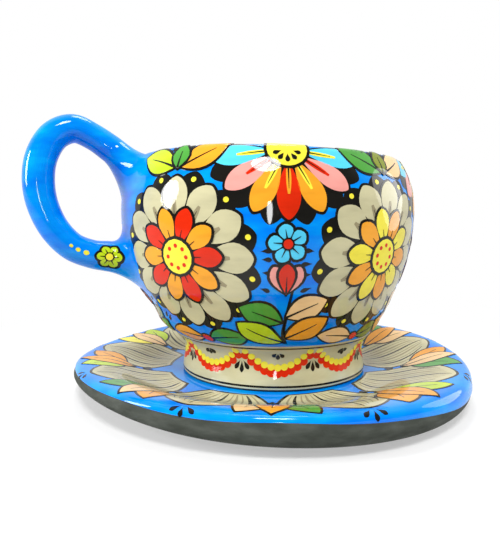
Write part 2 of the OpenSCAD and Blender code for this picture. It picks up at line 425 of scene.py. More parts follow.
# A place in an area, with the function that lays flat points on the surface there
Place = namedtuple("Place", "area lay")

# The films laid so far, by area and colour
films = {}


def lay_film(colour, place, layer, rows):
    """One closed film: a grid of flat points laid on a surface, with a thin edge down into the clay."""
    film = films.setdefault((place.area, colour), {"points": [], "normals": [], "faces": [], "count": 0})
    n, m = rows.shape[:2]
    flat = rows.reshape(-1, 2)
    top, square = place.lay(flat, AREAS[place.area].layer_t * (layer + 1))
    low = place.lay(flat, -FILM_SINK)[0]
    cell = np.cross(top[1] - top[0], top[m] - top[0])
    flip = np.dot(cell, square[0]) < 0
    base = film["count"]
    under = base + n * m
    faces = []
    for i in range(n - 1):
        for j in range(m - 1):
            a = i * m + j
            faces.append((base + a, base + a + 1, base + a + m + 1, base + a + m))
            faces.append((under + a, under + a + m, under + a + m + 1, under + a + 1))
    border = list(range(m))
    border += [i * m + m - 1 for i in range(1, n)]
    border += [(n - 1) * m + j for j in range(m - 2, -1, -1)]
    border += [i * m for i in range(n - 2, 0, -1)]
    for a, b in zip(border, border[1:] + border[:1]):
        faces.append((base + b, base + a, under + a, under + b))
    film["faces"] += [face[::-1] for face in faces] if flip else faces
    film["points"] += [top, low]
    film["normals"] += [square, square]
    film["count"] += 2 * n * m


def stroke(colour, place, layer, spine, half):
    """A brush stroke: a strip along a flat line, with a half width at each of its points."""
    spine = np.asarray(spine, float)
    half = np.maximum(np.asarray(half, float), THINNEST)
    way = np.gradient(spine, axis=0)
    way /= np.linalg.norm(way, axis=1)[:, None]
    side = np.column_stack([-way[:, 1], way[:, 0]])
    columns = max(2, math.ceil(2 * half.max() / AREAS[place.area].step) + 1)
    across = np.linspace(-1, 1, columns)
    rows = spine[:, None] + side[:, None] * (half[:, None] * across[None])[..., None]
    lay_film(colour, place, layer, rows)


def on_turned(area, turn, run, tilt=0.0):
    """A place on a turned surface, with x to the right and y along the profile."""
    c, s = math.cos(math.radians(tilt)), math.sin(math.radians(tilt))

    def lay(flat, lift):
        spot, square = LINES[area].at(run + flat[:, 0] * s + flat[:, 1] * c)
        a = math.radians(turn) + (flat[:, 0] * c - flat[:, 1] * s) / spot[:, 0]
        return spun(spot + square * lift, a), spun(square, a)

    return Place(area, lay)


def off(angle, distance):
    """A flat point at an angle from upright and at a distance."""
    a = math.radians(angle)
    return np.array((math.sin(a), math.cos(a))) * distance


def brush(start, angle, length, bend=0.0, step=FILM_STEP):
    """A flat line from a point, at an angle from upright, that bends sideways to its end."""
    count = max(9, math.ceil(1.3 * length / step) + 1)
    t = (1 - np.cos(np.linspace(0, np.pi, count))) / 2
    x, y = bend * t * t, length * t
    c, s = math.cos(math.radians(angle)), math.sin(math.radians(angle))
    return np.column_stack([start[0] + x * c + y * s, start[1] - x * s + y * c]), t


def outlined(colour, place, layer, start, angle, length, width, shape, bend=0.0, edge=OUTLINE):
    """A shape of colour over a black one that is larger by an edge all round."""
    back = start - off(angle, edge)
    step = AREAS[place.area].step
    wide_spine, wide_t = brush(back, angle, length + 2 * edge, bend, step)
    stroke("black", place, layer, wide_spine, shape(wide_t) * (width / 2 + edge))
    spine, t = brush(start, angle, length, bend, step)
    half = shape(t) * width / 2
    stroke(colour, place, layer + 1, spine, half)
    return spine, half


def leaf_width(t):
    return np.sin(np.pi * t) ** 0.85


def petal_width(t):
    return np.sin(np.pi * t**1.5) ** 0.62


def drop_width(t):
    return np.sin(np.pi * t**1.8) ** 0.8


def round_width(t):
    return 2 * np.sqrt(t * (1 - t))


def hand(size):
    """A small change either way, as a hand leaves it."""
    return rng.uniform(-size, size)


def leaf(colour, place, layer, start, angle, length, width):
    """A leaf with a black outline and a black rib."""
    bend = hand(length * 0.12)
    angle += hand(4)
    spine = outlined(colour, place, layer, start, angle, length, width, leaf_width, bend)[0]
    rib = spine[: max(5, int(len(spine) * 0.72))]
    stroke("black", place, layer + 2, rib, np.linspace(0.5, 0.1, len(rib)))


def petal(colour, place, layer, start, angle, length, width, shade=None):
    """A petal with a black outline, a shaded root and a short rib."""
    turned_to = angle + hand(1.5)
    spine, half = outlined(colour, place, layer, start, turned_to, length, width, petal_width)
    if shade:
        near = max(5, int(len(spine) * 0.6))
        stroke(shade, place, layer + 2, spine[:near], half[:near] * np.linspace(0.8, 0.1, near))
    rib = spine[1 : max(6, int(len(spine) * 0.55))]
    stroke("black", place, layer + 3, rib, np.linspace(0.36, 0.06, len(rib)))


def dot(colour, place, layer, centre, radius, top=1.0):
    """A round dab, cut off above a share of its radius."""
    least, count = 0.08, 9
    end = min(math.pi - math.acos(top), math.pi - least)
    t = (1 - np.cos(np.linspace(least, end, count))) / 2
    spine = np.column_stack([np.full(count, centre[0]), centre[1] + radius * (2 * t - 1)])
    stroke(colour, place, layer, spine, radius * round_width(t))


def comb(place, layer, centre, angle, count, spread, length, gap):
    """A fan of short black drops about a point."""
    for i in range(count):
        a = angle + (i - (count - 1) / 2) * spread + hand(2)
        spine, t = brush(centre + off(a, gap), a, length * (1 + hand(0.12)))
        stroke("black", place, layer, spine, drop_width(t) * DROP_HALF)


def build_films():
    """Makes one piece of each colour in each area."""
    for (area, colour), film in films.items():
        name = area + "_paint_" + colour
        points, normals = np.vstack(film["points"]), np.vstack(film["normals"])
        body, slot = AREAS[area].body, AREAS[area].slot
        make_mesh(name, points, film["faces"], body, paints[colour], normals=normals)


# Materials


def linear(red, green, blue):
    """A colour given as screen values from 0 to 255."""
    shares = [v / 255 for v in (red, green, blue)]
    return tuple(s / 12.92 if s <= 0.04045 else ((s + 0.055) / 1.055) ** 2.4 for s in shares) + (1.0,)


class Finish:
    """A node material with a few shorthand calls."""

    def __init__(self, name):
        self.material = bpy.data.materials.new(name)
        self.material.use_nodes = True
        self.tree = self.material.node_tree
        self.shader = self.tree.nodes["Principled BSDF"]
        self.coords = self.node("ShaderNodeTexCoord")

    def node(self, kind, **settings):
        made = self.tree.nodes.new(kind)
        for key, value in settings.items():
            setattr(made, key, value)
        return made

    def link(self, output, socket):
        self.tree.links.new(output, socket)

    def noise(self, scale, detail=3.0, stretch=(1, 1, 1)):
        """Noise in the object's own place, with a scale in waves for each metre."""
        mapping = self.node("ShaderNodeMapping")
        mapping.inputs["Scale"].default_value = stretch
        self.link(self.coords.outputs["Object"], mapping.inputs["Vector"])
        made = self.node("ShaderNodeTexNoise")
        made.inputs["Scale"].default_value = scale
        made.inputs["Detail"].default_value = detail
        self.link(mapping.outputs["Vector"], made.inputs["Vector"])
        return made.outputs["Fac"]

    def tone(self, value, *colours):
        """Colours the surface by a value, from a dark colour to a light one."""
        made = self.node("ShaderNodeValToRGB")
        while len(made.color_ramp.elements) < len(colours):
            made.color_ramp.elements.new(0.5)
        stops = np.linspace(0.3, 0.7, len(colours))
        for element, stop, colour in zip(made.color_ramp.elements, stops, colours):
            element.position = stop
            element.color = colour
        self.link(value, made.inputs["Fac"])
        self.link(made.outputs["Color"], self.shader.inputs["Base Color"])

    def rough(self, value, low, high):
        made = self.node("ShaderNodeMapRange")
        made.inputs["To Min"].default_value = low
        made.inputs["To Max"].default_value = high
        self.link(value, made.inputs["Value"])
        self.link(made.outputs["Result"], self.shader.inputs["Roughness"])

    def bump(self, value, strength, depth):
        made = self.node("ShaderNodeBump")
        made.inputs["Strength"].default_value = strength
        made.inputs["Distance"].default_value = depth
        self.link(value, made.inputs["Height"])
        self.link(made.outputs["Normal"], self.shader.inputs["Normal"])

    def set(self, values):
        for name, value in values.items():
            self.shader.inputs[name].default_value = value


def glossy_paint(name, dark, middle, light):
    """Varnished paint: brush marks in its colour, a clear coat and a slightly uneven surface."""
    f = Finish(name)
    f.tone(f.noise(70, 5.0, (1, 1, 3.4)), dark, middle, light)
    f.rough(f.noise(420), 0.22, 0.34)
    f.bump(f.noise(160, 2.0), 0.1, 0.0003)
    f.set({"Specular IOR Level": 0.0, "Coat IOR": 1.42, "Coat Weight": 0.8, "Coat Roughness": 0.04})
    return f.material


def toned(colour, change):
    """The colour made darker or lighter by a share."""
    return tuple(min(1.0, c * (1 + change)) for c in colour[:3]) + (1.0,)


def simple_paint(name, colour):
    return glossy_paint(name, toned(colour, -0.14), colour, toned(colour, 0.08))


def bare_clay():
    """Burnished grey clay: matte, with darker patches, fine grit and marks that run round."""
    f = Finish("bare_clay")
    f.tone(f.noise(130, 8.0, (1, 1, 3.5)), *CLAY_GREYS)
    f.rough(f.noise(500, 4.0), 0.6, 0.85)
    f.bump(f.noise(1400, 5.0), 0.35, 0.0003)
    f.set({"Specular IOR Level": 0.1})
    return f.material


def joint_slip():
    """Fired slip, hidden in the joint between bowl and foot."""
    f = Finish("joint_slip")
    f.tone(f.noise(300, 5.0), *SLIP_GREYS)
    f.rough(f.noise(700), 0.7, 0.9)
    f.bump(f.noise(1500, 4.0), 0.4, 0.0003)
    return f.material


# Colours: tones of the clay and the grounds from dark to light, and middle tones of the design
CLAY_GREYS = (linear(59, 63, 57), linear(71, 75, 69), linear(84, 88, 82))
SLIP_GREYS = (linear(92, 88, 80), linear(128, 122, 112))
BLUES = (linear(0, 120, 244), linear(0, 142, 250), linear(3, 164, 254))
LINING_BLUES = (linear(0, 110, 225), linear(2, 134, 242), linear(8, 156, 248))
FOOT_CREAMS = (linear(192, 185, 148), linear(204, 198, 160), linear(214, 209, 174))
PAINTS = {
    "black": (28, 27, 24),
    "yellow": (253, 238, 70),
    "orange": (250, 168, 45),
    "red": (226, 45, 14),
    "pink": (248, 165, 155),
    "sky": (88, 212, 250),
    "lime": (196, 224, 34),
    "green": (78, 160, 62),
    "olive": (128, 140, 26),
    "khaki": (206, 200, 160),
    "taupe": (158, 148, 116),
    "peach": (250, 208, 150),
}
paints = {name: simple_paint(name + "_paint", linear(*tone)) for name, tone in PAINTS.items()}
blue_paint = glossy_paint("blue_paint", *BLUES)
lining_glaze = glossy_paint("lining_glaze", *LINING_BLUES)
foot_paint = glossy_paint("foot_paint", *FOOT_CREAMS)
clay = bare_clay()


# Pieces of the saucer


def saucer_clay():
    edge = arc(EDGE_C, EDGE_R, EDGE_UNDER_A, EDGE_SIDE_A, 20)
    lip = arc(LIP_C, LIP_R, EDGE_SIDE_A, COAT_END_A, 3)
    base = [(SAUCER_BASE_R * k / 4, 0) for k in range(5)]
    under = np.linspace((SAUCER_BASE_R, 0), edge[0], 14)
    side = np.linspace(edge[-1], lip[0], 7)
    profile = joined(base, under, edge, side, lip, saucer_top(COAT_END_A)[::-1])
    profiles = [profile] * TURNS
    piece = turned_piece("saucer_body", profiles, False, "saucer", clay, crease=50)
    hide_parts("saucer_plate")


def coat_profile(turn):
    """The coat at one turn: its edge on the lip wavers as the brush did."""
    share = np.linspace(0, 1, 110)
    end = COAT_END + wave(turn, seed=3, size=0.2) + swells(turn, COAT_END_ON)
    run = end * share
    spot, square = COAT.at(run)
    ease = np.clip((end - run) / COAT_EDGE_EASE, 0, 1)
    thick = COAT_EDGE_T + (COAT_T - COAT_EDGE_T) * ease * (2 - ease)
    top = spot + square * thick[:, None]
    low = spot - square * SINK
    top[0, 0] = low[0, 0] = 0
    return joined(low, top[::-1])


def saucer_coat():
    profiles = [coat_profile(360.0 * j / TURNS) for j in range(TURNS)]
    name, slot = "saucer_colour_coat", "saucer_colour"
    piece = turned_piece(name, profiles, False, "saucer", blue_paint, crease=60)
    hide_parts("saucer_coat")


# Pieces of the cup


def cup_bowl():
    outside = joined([(0, bowl_low.z)], bowl_outside(-90))
    profile = joined(outside, bowl_inside(0.0))
    profile[-1, 0] = 0
    piece = turned_piece("cup_body", [profile] * TURNS, False, "cup", blue_paint)
    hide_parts("cup_bowl")


def cup_lining():
    sides = bowl_inside(-SINK), bowl_inside(LINING_T)
    outer, inner = (joined(side, [(0, side[-1, 1])]) for side in sides)
    profiles = [joined(outer[::-1], inner)] * TURNS
    name, slot = "cup_inside_glaze", "lining_glaze"
    piece = turned_piece(name, profiles, False, "cup", lining_glaze)
    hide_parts("cup_lining")


def foot_profiles():
    """The foot ring's painted side, smoothed into the bowl by a fillet, and its bare underside."""
    waist_r = FOOT_R - FOOT_WAIST
    corner, square = Line(bowl_outside(bowl_angle(waist_r))).at(np.array([0.0]))
    slope = math.degrees(math.atan2(square[0, 0], -square[0, 1]))
    cut = FOOT_FILLET_R * math.tan(math.radians((90 - slope) / 2))
    centre = (waist_r + FOOT_FILLET_R, corner[0, 1] - cut)
    fillet = arc(centre, FOOT_FILLET_R, 180, 90 + slope, 14)
    inner_r = FOOT_R - FOOT_WALL
    low = CUP_Z + FOOT_EDGE_R
    inner_top = bowl_side(-FOOT_TOP_SINK, bowl_angle(waist_r + cut), bowl_angle(inner_r), 8)
    half = len(inner_top) // 2
    share = np.linspace(0, 1, 13)[1:-1]
    upright_r = FOOT_R - FOOT_WAIST * eased(share, 0, 1)
    upright = np.column_stack([upright_r, low + (centre[1] - low) * share])
    edge_c = (FOOT_R - FOOT_EDGE_R, low)
    side = joined(arc(edge_c, FOOT_EDGE_R, FOOT_PAINT_END_A, 0, 4), upright, fillet)
    under = joined(
        arc((inner_r + FOOT_EDGE_R, low), FOOT_EDGE_R, 180, 270, 8),
        arc(edge_c, FOOT_EDGE_R, -90, FOOT_PAINT_END_A, 8),
        edge_c,
        inner_top[half:],
    )
    return side, joined(side, inner_top[: half + 1], edge_c), under


FOOT_SIDE, FOOT_PAINTED, FOOT_UNDER = foot_profiles()
FOOT = Line(FOOT_SIDE)


def cup_foot():
    painted, under = [FOOT_PAINTED] * TURNS, [FOOT_UNDER] * TURNS
    piece = turned_piece("foot_ring", painted, True, "cup", foot_paint, crease=45)
    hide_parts("cup_foot")
    turned_piece("foot_underside", under, True, "cup", clay, crease=45)


def foot_slip():
    """The slip in the joint between the bowl and its foot."""
    start, end = bowl_angle(FOOT_R - FOOT_WALL), bowl_angle(FOOT_R - FOOT_EDGE_R)
    profile = joined(bowl_side(SLIP_T, start, end, 8), bowl_side(0, end, start, 8))
    profiles = [profile] * TURNS
    piece = turned_piece("slip_ring", profiles, True, "cup", joint_slip(), crease=45)
    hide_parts("foot_slip")


# The handle


def at(row, i):
    return row[max(0, min(len(row) - 1, i))]


def spline(row, i, u):
    """A smooth curve through a row of values."""
    a, b, c, d = (at(row, i + k) for k in (-1, 0, 1, 2))
    square = 2 * a - 5 * b + 4 * c - d
    cube = 3 * b - a - 3 * c + d
    return (2 * b + (c - a) * u + square * u**2 + cube * u**3) / 2


def sampled(row):
    spans = len(row) - 1
    inner = [spline(row, i, k / RINGS_PER_SPAN) for i in range(spans) for k in range(RINGS_PER_SPAN)]
    return np.array(inner + [row[-1]])


UPPER_Z = RIM_TOP - UPPER_JOINT_DROP
LOWER_Z = BELLY_Z - LOWER_JOINT_DROP
LOOP_TOP_Z = RIM_TOP + HANDLE_RISE
loop_size = (HANDLE_REACH, LOOP_TOP_Z - LOWER_Z)
loop_line = sampled((BELLY_R, LOWER_Z) + np.array(LOOP_SHARES) * loop_size)
coil_sizes = sampled(COIL_SHARES)
upper_run, lower_run = np.interp((UPPER_Z, LOWER_Z), WALL.points[:, 1], WALL.runs)

# Joints: run along the wall, width, reach on the loop's outer and inner side, and outer steepness
Joint = namedtuple("Joint", "run width outer inner steep")
UPPER_JOINT = Joint(upper_run, 34.0, (WALL.length - upper_run) * RIM_COVER_SHARE, 13.0, RIM_MEET_SHARE)
LOWER_JOINT = Joint(lower_run, 24.0, -13.6, -12.0, MEET_SHARE)


def loop_way(i):
    d = at(loop_line, i + 1) - at(loop_line, i - 1)
    return d / np.linalg.norm(d)


RING_ANGLES = np.linspace(0, 2 * np.pi, RING_SIDES, endpoint=False)


def coil_ring(i):
    """One ring of the coil."""
    way = loop_way(i)
    out = np.array((-way[1], way[0]))
    a = RING_ANGLES
    p = loop_line[i] + out * (COIL_T / 2 * coil_sizes[i] * np.sin(a))[:, None]
    return np.column_stack([-p[:, 0], COIL_W / 2 * coil_sizes[i] * np.cos(a), p[:, 1]])


def wall_spots(run, turn):
    """Points of the bowl's outside and its outward directions, with turns from the handle's side."""
    spot, square = WALL.at(run)
    return spun(spot, math.pi + turn), spun(square, math.pi + turn)


def joint_edge(joint, share):
    """The edge of a joint's clay on the wall, at a share of its size."""
    a = RING_ANGLES
    reach = np.where(np.sin(a) > 0, joint.outer, joint.inner)
    side = joint.width / 2 / WALL.at(np.array([joint.run]))[0][0, 0]
    return wall_spots(joint.run + reach * np.sin(a) * share, -side * np.cos(a) * share)


def joint_rings(ring, way, joint):
    """Rings of a joint from the coil to the wall, its root inside the wall, and the wall's normals."""
    edge, square = joint_edge(joint, 1.0)
    near, near_square = joint_edge(joint, ROOT_WIDTH_SHARE)
    away = edge - near
    steep = MEET_SHARE + (joint.steep - MEET_SHARE) * np.maximum(0, np.sin(RING_ANGLES))
    meet = away / np.linalg.norm(away, axis=1)[:, None] - square * steep[:, None]
    leave = np.array((-way[0], 0, way[1])) * (COIL_W * LEAVE_SHARE)
    arrive = meet * (COIL_W * ARRIVE_SHARE)
    end = edge - square * JOINT_BITE
    rings = [
        ring * (2 * u**3 - 3 * u**2 + 1) + leave * (u**3 - 2 * u**2 + u)
        + end * (3 * u**2 - 2 * u**3) + arrive * (u**3 - u**2)
        for u in np.linspace(0, 1, JOINT_RINGS + 1)[1:]
    ]
    return rings, near - near_square * (WALL_T * ROOT_SHARE), square


def handle_rings():
    """All rings of the handle from the upper joint to the lower one, and how far each is in a joint."""
    last = len(loop_line) - 1
    upper, upper_root, upper_square = joint_rings(coil_ring(0), -loop_way(0), UPPER_JOINT)
    lower, lower_root, lower_square = joint_rings(coil_ring(last), loop_way(last), LOWER_JOINT)
    rings = upper[::-1] + [coil_ring(i) for i in range(last + 1)] + lower
    into = [u / JOINT_RINGS for u in range(1, JOINT_RINGS + 1)]
    share = into[::-1] + [0.0] * (last + 1) + into
    squares = [upper_square] * (JOINT_RINGS + last + 1) + [lower_square] * JOINT_RINGS
    return np.array(rings), np.array(share), np.array(squares), upper_root, lower_root


rings, joint_share, wall_squares, upper_root, lower_root = handle_rings()


def ring_normals():
    """Outward directions of the handle, easing into the wall's own at the joints."""
    along = np.gradient(rings, axis=0)
    round_way = np.roll(rings, -1, axis=1) - np.roll(rings, 1, axis=1)
    square = np.cross(along, round_way)
    square /= np.linalg.norm(square, axis=2)[..., None]
    middle = rings.mean(axis=1)[:, None]
    loop = np.where(joint_share == 0)[0]
    if np.sum((rings[loop] - middle[loop]) * square[loop]) < 0:
        square = -square
    ease = eased(joint_share, *WALL_EASE_SHARES)[:, None, None]
    square = square * (1 - ease) + wall_squares * ease
    return square / np.linalg.norm(square, axis=2)[..., None]


handle_squares = ring_normals()


def handle():
    count = len(rings) + 2
    everything = np.concatenate([[upper_root], rings, [lower_root]])
    points = np.vstack([everything.reshape(-1, 3), [upper_root.mean(0)], [lower_root.mean(0)]])
    faces = []
    for i in range(count - 1):
        for k in range(RING_SIDES):
            a, b = i * RING_SIDES + k, i * RING_SIDES + (k + 1) % RING_SIDES
            faces.append((a, a + RING_SIDES, b + RING_SIDES, b))
    first, end = count * RING_SIDES, (count - 1) * RING_SIDES
    for k in range(RING_SIDES):
        faces.append((first, k, (k + 1) % RING_SIDES))
        faces.append((first + 1, end + (k + 1) % RING_SIDES, end + k))
    squares = np.concatenate([[wall_squares[0]], handle_squares, [wall_squares[-1]]]).reshape(-1, 3)
    squares = np.vstack([squares, squares[:1], squares[-1:]])
    piece = make_mesh("handle", points, faces, "cup", blue_paint, normals=squares)
    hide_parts("handle_loop", "handle_upper_joint", "handle_lower_joint")


# The painted design


# The turned surfaces that are painted
LINES = {"cup": PAINTED_WALL, "foot": FOOT, "saucer": COAT_TOP}

# Turns, sizes and colours of the design, and where its parts stand along the profiles
DAHLIAS = 5
DAHLIA_STEP = 360 / DAHLIAS
DAHLIA_TURNS = [HANDLE_TURN + DAHLIA_STEP * (k + 0.5) for k in range(DAHLIAS)]
FAN_TURNS = [HANDLE_TURN + DAHLIA_STEP * k for k in range(1, DAHLIAS)]
DAHLIA_R = 24.6
DAHLIA_RUN = 38.0
FAN_RUN = WALL.length - 3.0
FAN_COLOURS = ["sky", "pink", "orange", "red", "orange", "pink", "sky"]
FAN_SHADES = ["yellow", "red", "yellow", "orange", "yellow", "red", "yellow"]
LEAF_COLOURS = ["lime", "orange", "green", "peach", "olive", "yellow"]
RING_COLOURS = [
    ["red", "orange"], ["orange", "yellow"], ["pink", "red"], ["sky", "yellow"], ["red", "yellow"],
]
FAN_STEP = 27.0
SWAGS = 9
SWAG_DABS = 11
SWAG_DROP = 6.0
SWAG_BELOW_EDGE = 4.6
SAUCER_PETALS = 9
PETAL_RUN = 39.6
LEAVES_RUN = 53.0
DROPS_RUN = 50.0
LIP_DROPS_RUN = 72.4
BLOSSOM_RUN = 42.0
ROOT_LEAVES_RUN = 7.2
SPRIG_RUN = 5.6
SMALL_SPRIG_RUN = 5.0
SMALL_SPRIG_SIZE = 0.62


def leaf_colour(k):
    return LEAF_COLOURS[k % len(LEAF_COLOURS)]


def petal_ring(colours, place, layer, count, near, far, width, shade=None, start=0.0):
    """A ring of petals about the middle of a flower."""
    for i in range(count):
        angle = start + 360.0 * i / count
        colour = colours[i % len(colours)]
        petal(colour, place, layer, off(angle, near), angle, far - near, width, shade)


def back_petals(place, count, near, far, width, first, step):
    """Plain black petals that show between the petals laid over them."""
    for i in range(count):
        angle = first + step * i
        spine, t = brush(off(angle, near), angle, far - near)
        stroke("black", place, 0, spine, petal_width(t) * width / 2)


def dahlia(turn, warm):
    """A large flower with rings of petals, and dots round it."""
    place = on_turned("cup", turn, DAHLIA_RUN, hand(8))
    r = DAHLIA_R
    outer, seeds = 12, 8
    step = 360.0 / outer
    back_petals(place, outer, near=r * 0.5, far=r * 1.09, width=r * 0.4, first=step / 2, step=step)
    petal_ring(["khaki"], place, 1, outer, r * 0.36, r, width=r * 0.38, shade="taupe")
    dot("black", place, 5, (0, 0), radius=r * 0.52)
    petal_ring(warm, place, 6, 10, r * 0.14, r * 0.62, width=r * 0.25, start=18)
    dot("black", place, 10, (0, 0), radius=r * 0.26)
    dot("yellow", place, 11, (0, 0), radius=r * 0.22)
    for i in range(seeds):
        dot("red", place, 12, off(360.0 * i / seeds, r * 0.14), radius=0.65)
    for i in range(outer):
        dot("yellow", place, 1, off(step * i + step / 2, r - 0.4), radius=0.85)


def fan(turn):
    """Half a flower that hangs from the rim."""
    place = on_turned("cup", turn, FAN_RUN)
    gaps = len(FAN_COLOURS) - 1
    first = 180 - FAN_STEP * gaps / 2
    back_petals(place, gaps, near=8.0, far=24.6, width=8.0, first=first + FAN_STEP / 2, step=FAN_STEP)
    for i, colour in enumerate(FAN_COLOURS):
        angle = first + i * FAN_STEP
        petal(colour, place, 1, off(angle, 4), angle, length=18.5, width=7.0, shade=FAN_SHADES[i])
    dot("black", place, 5, (0, 0), radius=6.8, top=0.36)
    dot("yellow", place, 6, (0, 0), radius=5.9, top=0.38)
    comb(place, 7, (0, 0), 180, count=5, spread=34, length=2.6, gap=1.8)


def blossom(turn, colour, heart):
    """A small flower with five petals."""
    place = on_turned("cup", turn, BLOSSOM_RUN, hand(20))
    petal_ring([colour], place, 2, count=5, near=0.8, far=5.8, width=4.4)
    dot("black", place, 6, (0, 0), radius=1.9)
    dot(heart, place, 7, (0, 0), radius=1.4)


def sprig(turn, run, first, size):
    """A stem with leaves on both sides and a bud at its top."""
    place = on_turned("cup", turn, run)
    stem, t = brush((0, 0), 0, 22 * size, hand(2))
    stroke("black", place, 1, stem, 0.7 - 0.3 * t)
    for i, (height, side) in enumerate([(1.5, -1), (3.5, 1), (10.5, -1), (12.5, 1)]):
        layer = 5 if i < 2 else 2
        start = (side * 0.6, height * size)
        length = (16.5 - 0.2 * height) * size
        leaf(leaf_colour(first + i), place, layer, start, side * 60, length, width=8.4 * size)
    for angle, colour, layer in ((-26, "pink", 2), (26, "pink", 2), (0, "red", 5)):
        start = (0, 21 * size)
        petal(colour, place, layer, start, angle, length=9.5 * size, width=4.8 * size)


def shoulder_leaves(turn, first):
    """Leaves and drops between a large flower and the rim."""
    place = on_turned("cup", turn, DAHLIA_RUN + DAHLIA_R + 2.6)
    for i, side in enumerate((-1, 1)):
        start = (side * 1.2, 0.4)
        leaf(leaf_colour(first + i), place, 3.5, start, side * 66, length=16.0, width=8.6)
    leaf(leaf_colour(first + 2), place, 6.5, (0, 0), hand(6), length=8.4, width=6.0)
    for side in (-1, 1):
        comb(place, 1, (0, 1.6), side * 34, count=3, spread=13, length=3.0, gap=4.6)


def root_leaves(turn, first):
    """Leaves below a large flower, along the foot."""
    place = on_turned("cup", turn, ROOT_LEAVES_RUN)
    for i, side in enumerate((-1, 1)):
        start = (side * 1.6, 0)
        leaf(leaf_colour(first + i), place, 1.5, start, side * 78, length=14.0, width=7.6)
    dot("black", place, 3, (0, 0), radius=2.3)
    dot("red", place, 4, (0, 0), radius=1.7)


def side_drops(turn):
    """Fans of black drops in the open ground beside a large flower."""
    place = on_turned("cup", turn, DAHLIA_RUN)
    for angle in (-97, -136, 97, 136):
        gap = DAHLIA_R + 2.2
        comb(place, 1, (0, 0), angle, count=4, spread=8.5, length=3.2, gap=gap)


def foot_line(run, half):
    """A black line all round the foot, in short stretches."""
    parts = 24
    reach = math.pi * FOOT.at(np.array([run]))[0][0, 0] / parts
    x = np.linspace(-reach, reach, max(5, math.ceil(2 * reach / FILM_STEP)))
    for k in range(parts):
        place = on_turned("foot", 360.0 * k / parts, run)
        stroke("black", place, 0, np.column_stack([x, 0 * x]), np.full(len(x), half))


def foot_swags():
    """Swags of red and yellow dabs round the foot, with small black sprigs between them."""
    top = FOOT.length - SWAG_BELOW_EDGE
    width = 2 * math.pi * FOOT_R / SWAGS
    for k in range(SWAGS):
        turn = CAMERA_TURN + 360.0 * k / SWAGS
        place = on_turned("foot", turn, top)
        for colour, layer, lift, radius in (("red", 1, 0.0, 1.55), ("yellow", 2, 1.9, 1.2)):
            for u in np.linspace(-1, 1, SWAG_DABS):
                centre = (u * width * 0.44, lift - SWAG_DROP * (1 - u * u))
                dot(colour, place, layer, centre, radius)
        beside = on_turned("foot", turn + 180.0 / SWAGS, top)
        comb(beside, 1, (0, -1.0), 180, count=3, spread=32, length=3.6, gap=1.2)
        comb(place, 3, (0, 1.8), 180, count=3, spread=44, length=2.2, gap=0.7)
    foot_line(FOOT.length - 0.7, half=0.5)
    foot_line(1.0, half=0.35)


def broad_width(t):
    return np.sin(np.pi * (0.1 + 0.9 * t**1.1)) ** 0.62


def saucer_petal(turn):
    """A broad pale petal with fine brush lines along it."""
    place = on_turned("saucer", turn, PETAL_RUN)
    length, width = 31.5, 33.0
    spine, half = outlined("khaki", place, 1, (0, 0), 0, length, width, broad_width, edge=0.9)
    for k in range(-5, 6):
        line = np.column_stack([half * k * 0.165 + hand(0.25), spine[:, 1]])
        line = line[3 : len(spine) - 4 - abs(k)]
        wide = np.sin(np.pi * np.linspace(0.05, 0.95, len(line))) * (0.34 if k % 2 else 0.6)
        stroke("black" if k % 4 == 0 else "taupe", place, 3, line, wide)


def saucer_between(turn, first):
    """Leaves and drops between two petals."""
    place = on_turned("saucer", turn, LEAVES_RUN)
    for k, angle in ((first + 1, -36), (first, 36)):
        leaf(leaf_colour(k), place, 4, (0, 3), angle, length=20.0, width=10.0)
    middle = "peach" if first % 2 else "orange"
    leaf(middle, place, 7, (0, 0), hand(5), length=20.5, width=9.4)
    drops = on_turned("saucer", turn, DROPS_RUN)
    comb(drops, 4, (0, 0), 180, count=3, spread=34, length=3.4, gap=0.5)


def saucer_design():
    step = 360.0 / SAUCER_PETALS
    for k in range(SAUCER_PETALS):
        turn = CAMERA_TURN + step / 2 + step * k
        saucer_petal(turn)
        saucer_between(turn + step / 2, k)
        lip = on_turned("saucer", turn, LIP_DROPS_RUN)
        comb(lip, 1, (0, 0), 0, count=3, spread=50, length=3.2, gap=1.4)


def cup_design():
    for k, turn in enumerate(DAHLIA_TURNS):
        dahlia(turn, RING_COLOURS[k])
        shoulder_leaves(turn, 2 * k)
        root_leaves(turn, 2 * k + 1)
        side_drops(turn)
    for k, turn in enumerate(FAN_TURNS):
        fan(turn)
        blossom(turn, "pink" if k % 2 else "sky", "yellow" if k % 2 else "red")
        sprig(turn, SPRIG_RUN, k, size=1.0)
    sprig(HANDLE_TURN, SMALL_SPRIG_RUN, 1, SMALL_SPRIG_SIZE)


ring_steps = np.linalg.norm(np.diff(rings.mean(axis=1), axis=0), axis=1)
ring_runs = np.concatenate([[0.0], np.cumsum(ring_steps)])


def on_handle(run, side):
    """A place on the handle, with x round the coil and y along it."""

    def lay(flat, lift):
        along = np.interp(run + flat[:, 1], ring_runs, np.arange(len(rings)))
        i = np.clip(along, 0, len(rings) - 1.001)
        k = (side + flat[:, 0] / (math.pi * COIL_W)) * RING_SIDES
        i0, k0 = np.floor(i).astype(int), np.floor(k).astype(int)
        u, v = (i - i0)[:, None], (k - k0)[:, None]

        def blend(grid):
            a = grid[i0, k0 % RING_SIDES] * (1 - v) + grid[i0, (k0 + 1) % RING_SIDES] * v
            b = grid[i0 + 1, k0 % RING_SIDES] * (1 - v) + grid[i0 + 1, (k0 + 1) % RING_SIDES] * v
            return a * (1 - u) + b * u

        square = blend(handle_squares)
        square /= np.linalg.norm(square, axis=1)[:, None]
        return blend(rings) + square * lift, square

    return Place("handle", lay)


